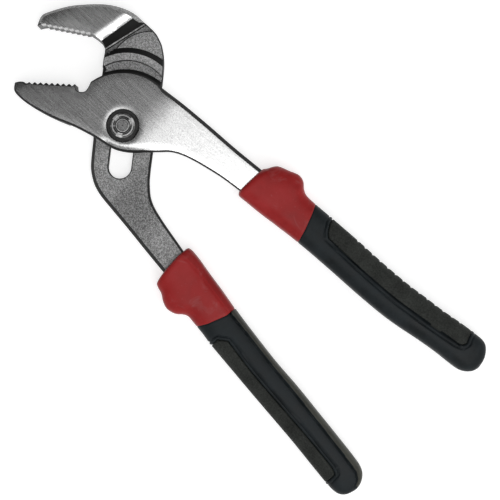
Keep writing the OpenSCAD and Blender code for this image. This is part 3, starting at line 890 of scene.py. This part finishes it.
front_form = np.array([
    (59.2, 13, 28.6, 6.6), (60.2, 11.8, 29.8, 7.7), (62, 11.6, 32.4, 8), (65, 11.8, 34.2, 8),
    (70, 12, 35.9, 8), (74.5, 12.3, 37.4, 8), (78, 12.6, 36.6, 8), (81, 12.9, 33.9, 8),
    (84, 13.1, 32.7, 8), (90, 13.6, 32.6, 8), (100, 14.1, 32.9, 8), (115, 14.4, 33.2, 8),
    (130, 14.5, 33.2, 8), (145, 15, 33.7, 8), (155, 16, 34.6, 8), (165, 17.5, 35.4, 8),
    (175, 18.7, 36.7, 8), (183, 19.2, 37.4, 8), (188, 19.7, 37.5, 7.6), (191, 20.9, 36, 7),
    (193.5, 23.2, 32.5, 5.4), (194.7, 25.6, 28.6, 2.6)])
rear_form = np.array([
    (58.4, -38.5, -22, 6.6), (59.2, -43, -20.9, 7.7), (61, -44.4, -20.6, 8), (64, -45.5, -20.9, 8),
    (67.5, -47.9, -21.5, 8), (71, -49, -22.3, 8), (75, -48.1, -23.2, 8), (78, -45.9, -23.8, 8),
    (80.5, -45, -24.3, 8), (84, -45.5, -25, 8), (90, -46.4, -26.4, 8), (97, -47.8, -28, 8),
    (109, -49.5, -30.4, 8), (124, -51.6, -33, 8), (139, -53.6, -34.8, 8), (154, -55.6, -37.2, 8),
    (169, -58, -39.6, 8), (180, -59.6, -41.5, 8), (185, -59.5, -42.7, 7.6), (188, -57.6, -44.6, 6.8),
    (189.8, -54, -47.5, 5), (190.3, -51.8, -49.8, 2.6)])
front_split = np.array([(5, 94.8), (13.8, 94.8), (20, 93.4), (27, 91.2), (32.6, 89.2), (40, 89.2)])
rear_split = np.array([(-60, 86), (-46, 86), (-41.2, 89), (-32.5, 92.8), (-27.2, 94), (-15, 94)])
front_panel = np.concatenate([
    curve([(99.2, 45), (99.4, 32), (100.4, 28.8), (102, 26), (104, 24.3)], 6),
    curve([(104, 24.3), (128, 23.8), (145, 24.1), (163, 25.7), (178, 27.7)], 8),
    curve([(178, 27.7), (181.4, 29), (182.5, 31.4), (181.6, 34), (180.4, 45)], 6), [(180.4, 45)]])
rear_panel = np.concatenate([
    curve([(96.6, -70), (96.8, -46), (98, -42.8), (101.2, -40.6)], 6),
    curve([(101.2, -40.6), (118.5, -43.9), (138, -46.5), (158, -49), (174, -51.5)], 8),
    curve([(174, -51.5), (177.2, -52.8), (177.8, -55), (177.4, -70)], 6), [(177.4, -70)]])
rear_guard_crease = np.array([
    (57, -25.6), (59.7, -25.7), (69.1, -26.1), (79, -27.9), (92.8, -30.7), (96, -31.3)])
rear_grip_crease = np.array([
    (92, -30.3), (93.8, -30.7), (108.7, -33), (123.6, -35.7), (138.4, -37.9), (153.3, -40.4),
    (168.2, -43), (178.1, -44.8), (184, -46.1), (187, -48.2), (188.4, -51.5)])
# the handles' mid height, and how far their skins lie inside the forms, which leaves room for beads
GRIP_MID, SHRINK, EDGE_IN = 8.0, 0.26, 0.12
FRONT_FROM, REAR_FROM, FRONT_TO, REAR_TO = 59.2, 58.4, 194.7, 190.3
GUARD_GRID, GRIP_GRID = (110, 150), (360, 236)
END_ROLL, END_ROWS, END_FREE = 0.8, 4, 0.9
SEAM_ROLL, SLEEVE_GAP, INSERT_GAP = 0.2, 0.04, 0.12


class Handle:
    """The outer form of a handle: for every station x and angle round it, a point."""

    POWER = 2 / 3.2  # the section is a superellipse of squareness 3.2
    LEAST = 0.05  # half width and half height never fall below this

    def __init__(self, form):
        line = curve(form, 14, True)
        line[:, 3] = np.minimum(line[:, 3], GRIP_MID)
        keep = np.concatenate([[True], np.diff(np.maximum.accumulate(line[:, 0])) > 1e-6])
        self.s = line[keep]

    def at(self, x, a, inset=0.0):
        lo, hi, half = (np.interp(x, self.s[:, 0], self.s[:, k]) for k in (1, 2, 3))
        c, s = np.cos(a), np.sin(a)
        wide = np.maximum((hi - lo) / 2 - EDGE_IN - inset, self.LEAST)
        tall = np.maximum(half - SHRINK - inset, self.LEAST)
        y = (lo + hi) / 2 + wide * np.sign(c) * np.abs(c) ** self.POWER
        z = GRIP_MID + tall * np.sign(s) * np.abs(s) ** self.POWER
        return y, z


def band(handle, x_from, x_to, grid, roll_from, roll_to, shape=None, lean=None):
    """A grid of points round a handle between two end lines, in rows along it and columns round it.

    An end line is a number, or an array of (y, x). Each end rolls in by its roll. shape says how far the
    point at (x, y) stands proud, and lean moves it along X.
    """
    rows, cols = grid
    a = np.linspace(0, 2 * math.pi, cols, endpoint=False) + math.pi / cols
    # the flat faces get more columns than the corners
    a = a - 0.08 * np.sin(4 * a)

    def end_x(line):
        if not hasattr(line, "shape"):
            return np.full(cols, line)
        x = np.full(cols, np.mean(line[:, 1]))
        for _ in range(8):
            x = np.interp(handle.at(x, a)[0], line[:, 0], line[:, 1])
        return x

    start, end = end_x(x_from), end_x(x_to)
    length = np.mean(end - start)
    s = np.linspace(0, 1, rows)
    close, free = np.arange(END_ROWS) / END_ROWS * END_ROLL / length, END_FREE / length
    s = np.concatenate([close, s[(s > free) & (s < 1 - free)], 1 - close[::-1]])[:, None]
    x = start[None] + (end - start)[None] * s

    def roll(amount, place):
        return amount * np.clip(1 - place * length / END_ROLL, 0, 1) ** 2

    y, z = handle.at(x, np.repeat(a[None], len(s), 0), roll(roll_from, s) + roll(roll_to, 1 - s))
    p = np.stack([x, y, z], 2)
    dx = np.gradient(p, axis=0)
    wrapped = np.concatenate([p[:, -1:], p, p[:, :1]], 1)
    da = (wrapped[:, 2:] - wrapped[:, :-2]) / 2
    nrm = np.cross(da, dx)
    nrm /= np.maximum(np.linalg.norm(nrm, axis=2), 1e-9)[..., None]
    middle = np.stack([x, np.repeat(y.mean(1, keepdims=True), cols, 1), np.full_like(x, GRIP_MID)], 2)
    nrm *= np.sign(((p - middle) * nrm).sum(2).mean())
    if shape is not None:
        p = p + nrm * shape(p[..., 0].ravel(), p[..., 1].ravel()).reshape(p.shape[:2])[..., None]
    if lean is not None:
        p[..., 0] += lean(p[..., 0], p[..., 1])
    return p


def tube(name, p, materials, keep=None, side_of=None):
    """A skin over the grid. Faces with y above the line side_of take the second material.

    keep says which points belong to it. Without keep the skin is closed at both ends.
    """
    rows, cols = p.shape[:2]
    faces, idx = [], []
    far_side = np.zeros(rows * cols, bool)
    if side_of is not None:
        flat = p.reshape(-1, 3)
        far_side = flat[:, 1] > np.interp(flat[:, 0], side_of[:, 0], side_of[:, 1]) + 0.35
    for i in range(rows - 1):
        for k in range(cols):
            j = (k + 1) % cols
            f = (i * cols + k, i * cols + j, (i + 1) * cols + j, (i + 1) * cols + k)
            if keep is None or all(keep[v] for v in f):
                faces.append(f[::-1])
                idx.append(int(all(far_side[v] for v in f)))
    co = p.reshape(-1, 3)
    if keep is None:
        faces.append(tuple(range(cols)))
        faces.append(tuple((rows - 1) * cols + k for k in reversed(range(cols))))
        idx += [0, 0]
    return solid(name, co, faces, materials, idx, sharp=50)


def signed(x, y, panel):
    """Distance to a panel's edge, positive inside it. Its last side, off the handle, doesn't count."""
    xy = np.stack([x, y], 1)
    d = line_distance(xy, panel[:-1])[0]
    return np.where(inside(xy, panel), d, -d)


def past_line(x, y, line):
    """Distance to a line, and how far y is above it."""
    return line_distance(np.stack([x, y], 1), line)[0], y - np.interp(x, line[:, 0], line[:, 1])


POCKET, BEAD, GROOVE, CREASE = 1.3, 0.21, 0.42, 0.9


def grip_shape(panel, crease=None):
    """A sleeve: the insert's pocket with a bead and a groove round it, and the rear one's crease."""
    def shape(x, y):
        sd = signed(x, y, panel)
        f = BEAD * bump(sd + 0.8, 0.38) - GROOVE * bump(sd + 1.55, 0.32)
        f = f - POCKET * smooth((sd + 0.15) / 0.5)
        if crease is not None:
            d, above = past_line(x, y, crease)
            strip = 0.18 * bump(d - 1.1, 0.4) - 0.3 * smooth((d - 1.6) / 1.5)
            f = f - CREASE * bump(d, 0.45) + np.where(above > 0, strip, 0)
        return f
    return shape


SCALLOP, SCALLOP_DEEP, SCALLOP_WIDE = 4.6, 0.5, 0.55
SCALLOPS_FROM, SCALLOPS_TO = 110, 179


def insert_shape(panel, scalloped=None):
    """An insert: its border falls into the groove, and scallops may run along the handle's outer edge."""
    def shape(x, y):
        f = -0.75 * (1 - smooth((signed(x, y, panel) - 0.1) / 0.6))
        if scalloped is not None:
            edge = smooth((y - np.interp(x, scalloped[:, 0], scalloped[:, 1]) + 1.6) / 1.4)
            live = smooth((x - SCALLOPS_FROM) / 6) * smooth((SCALLOPS_TO - x) / 5)
            phase = (x / SCALLOP) % 1.0
            notch = bump(np.minimum(phase, 1 - phase) * SCALLOP, SCALLOP_WIDE)
            f = f - SCALLOP_DEEP * edge * live * notch
        return f
    return shape


def front_lean(x, y):
    """The front guard's mouth is cut at a slant."""
    return 0.085 * (y - 12) * smooth((66 - x) / 6)


def rear_guard_shape(x, y):
    """The crease along the rear guard, and the lower strip above it."""
    d, above = past_line(x, y, rear_guard_crease)
    return np.where(above > 0, -0.5 * smooth(above), 0) - 0.4 * bump(d, 0.5)


def grip_band(handle, split, gap, end, shape):
    return band(handle, split + np.array([0, gap]), end, GRIP_GRID, SEAM_ROLL, 0, shape)


def insert(name, handle, split, end, panel, scalloped=None):
    p = grip_band(handle, split, INSERT_GAP, end, insert_shape(panel, scalloped))
    flat = p.reshape(-1, 3)
    return tube(name, p, [INSERT], keep=signed(flat[:, 0], flat[:, 1], panel) > 0.05)


fh, rh = Handle(front_form), Handle(rear_form)
front_guard = tube(
    "front_guard_moulding",
    band(fh, FRONT_FROM, front_split, GUARD_GRID, 0, SEAM_ROLL, lean=front_lean), [RED])
rear_guard = tube(
    "rear_guard_moulding",
    band(rh, REAR_FROM, rear_split, GUARD_GRID, 0, SEAM_ROLL, shape=rear_guard_shape),
    [RED, RED_PAINTED_SHADE], side_of=rear_guard_crease)
front_grip = tube(
    "front_sleeve", grip_band(fh, front_split, SLEEVE_GAP, FRONT_TO, grip_shape(front_panel)), [SLEEVE])
rear_grip = tube(
    "rear_sleeve", grip_band(rh, rear_split, SLEEVE_GAP, REAR_TO, grip_shape(rear_panel, rear_grip_crease)),
    [SLEEVE, SIDE], side_of=rear_grip_crease)
front_insert = insert("front_palm_panel", fh, front_split, FRONT_TO, front_panel, front_form[:, [0, 2]])
rear_insert = insert("rear_palm_panel", rh, rear_split, REAR_TO, rear_panel)

# ---------------------------------------------------------------- bodies, nodes and slot names; the slot names are not used

for piece, body, node, slot_name in (
        (rear_half, "rear", "rear_half", "blasted_steel"),
        (front_half, "front", "front_half", "polished_steel"),
        (bolt, "rear", "pivot_bolt", "black_oxide_steel"),
        (nut, "rear", "pivot_nut", "black_oxide_steel"),
        (washer, "rear", "nut_washer", "black_oxide_steel"),
        (rear_guard, "rear", "rear_guard", "red_plastic"),
        (front_guard, "front", "front_guard", "red_plastic"),
        (rear_grip, "rear", "rear_grip", "black_sleeve"),
        (front_grip, "front", "front_grip", "black_sleeve"),
        (rear_insert, "rear", "rear_palm_insert", "textured_rubber"),
        (front_insert, "front", "front_palm_insert", "textured_rubber")):
    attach(piece, body)
    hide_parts(node)

# ---------------------------------------------------------------- floor, light and camera

FLOOR_HALF, FLOOR_GLOW = 3.0, 0.64
floor_mesh = bpy.data.meshes.new("floor")
corners = [(FLOOR_HALF * i, FLOOR_HALF * j, 0) for i, j in ((-1, -1), (1, -1), (1, 1), (-1, 1))]
floor_mesh.from_pydata(corners, [], [(0, 1, 2, 3)])
floor = bpy.data.objects.new("floor", floor_mesh)
bpy.context.scene.collection.objects.link(floor)
g = Graph("floor_paper")
g.set(Base_Color=g.ramp(g.noise(30, 2), [(0.3, 0.54), (0.7, 0.56)]), Roughness=0.9, Specular_IOR_Level=0.1)
g.set(Emission_Color=(1, 1, 1, 1), Emission_Strength=FLOOR_GLOW)
floor_mesh.materials.append(g.m)

world = bpy.data.worlds.new("studio")
bpy.context.scene.world = world
world.use_nodes = True
wt = world.node_tree
back = wt.nodes["Background"]
coord = wt.nodes.new("ShaderNodeTexCoord")
split_xyz = wt.nodes.new("ShaderNodeSeparateXYZ")
wt.links.new(coord.outputs["Generated"], split_xyz.inputs[0])


def world_math(op, a, b=None, c=None):
    """One maths node of the sky. What MULTIPLY_ADD gives is held between 0 and 1."""
    n = wt.nodes.new("ShaderNodeMath")
    n.operation = op
    n.use_clamp = op == "MULTIPLY_ADD"
    for i, v in enumerate((a, b, c)):
        if isinstance(v, bpy.types.NodeSocket):
            wt.links.new(v, n.inputs[i])
        elif v is not None:
            n.inputs[i].default_value = v
    return n.outputs[0]


# Overhead it is dim, with one bright panel to the right and a faint glow to the left. Nearer the horizon
# a softer ring of light goes all the way round.
SKY_X, SKY_Y, SKY_Z = split_xyz.outputs
lean_x = world_math("ADD", SKY_X, world_math("MULTIPLY", SKY_Y, -0.25))
panel = world_math("MULTIPLY", world_math("MULTIPLY_ADD", lean_x, 9.0, 0.84),
                   world_math("MULTIPLY_ADD", lean_x, -6.0, 2.7))
panel = world_math("MULTIPLY", panel, world_math("MULTIPLY_ADD", world_math("ABSOLUTE", SKY_Y), -7.0, 3.2))
high = world_math("MULTIPLY_ADD", SKY_Z, 8.0, -5.7)
roof = world_math("ADD", world_math("MULTIPLY", panel, 2.1), 0.06)
left = world_math("MULTIPLY_ADD", lean_x, -14.0, -2.4)
roof = world_math("ADD", roof, world_math("MULTIPLY", left, 0.09))
ring = world_math("MULTIPLY", world_math("SUBTRACT", 1.0, high),
                  world_math("MULTIPLY_ADD", lean_x, 0.6, 0.72))
wt.links.new(world_math("ADD", world_math("MULTIPLY", roof, high), ring), back.inputs[1])
back.inputs[0].default_value = (1, 1, 1, 1)

soft = bpy.data.lights.new("soft_right", "AREA")
soft.shape, soft.energy = "RECTANGLE", 3
soft.size, soft.size_y = 0.4, 0.6
lamp = bpy.data.objects.new("soft_right", soft)
LAMP_AT, LAMP_TOWARDS = Vector((0.42, -0.1, 1.0)), Vector((0.06, 0.0, 0.0))
lamp.location = LAMP_AT
lamp.rotation_euler = (LAMP_TOWARDS - LAMP_AT).to_track_quat("-Z", "Y").to_euler()
bpy.context.scene.collection.objects.link(lamp)

camera = bpy.data.cameras.new("camera")
camera.lens, camera.sensor_width = 86.1, 36.0
camera.clip_start, camera.clip_end = 0.01, 20
cam = bpy.data.objects.new("camera", camera)
cam.location = (0.0809, -0.0033, 0.558)
cam.rotation_euler = (0, 0, math.radians(42))
bpy.context.scene.collection.objects.link(cam)
bpy.context.scene.camera = cam
bpy.context.scene.view_settings.view_transform = "Standard"
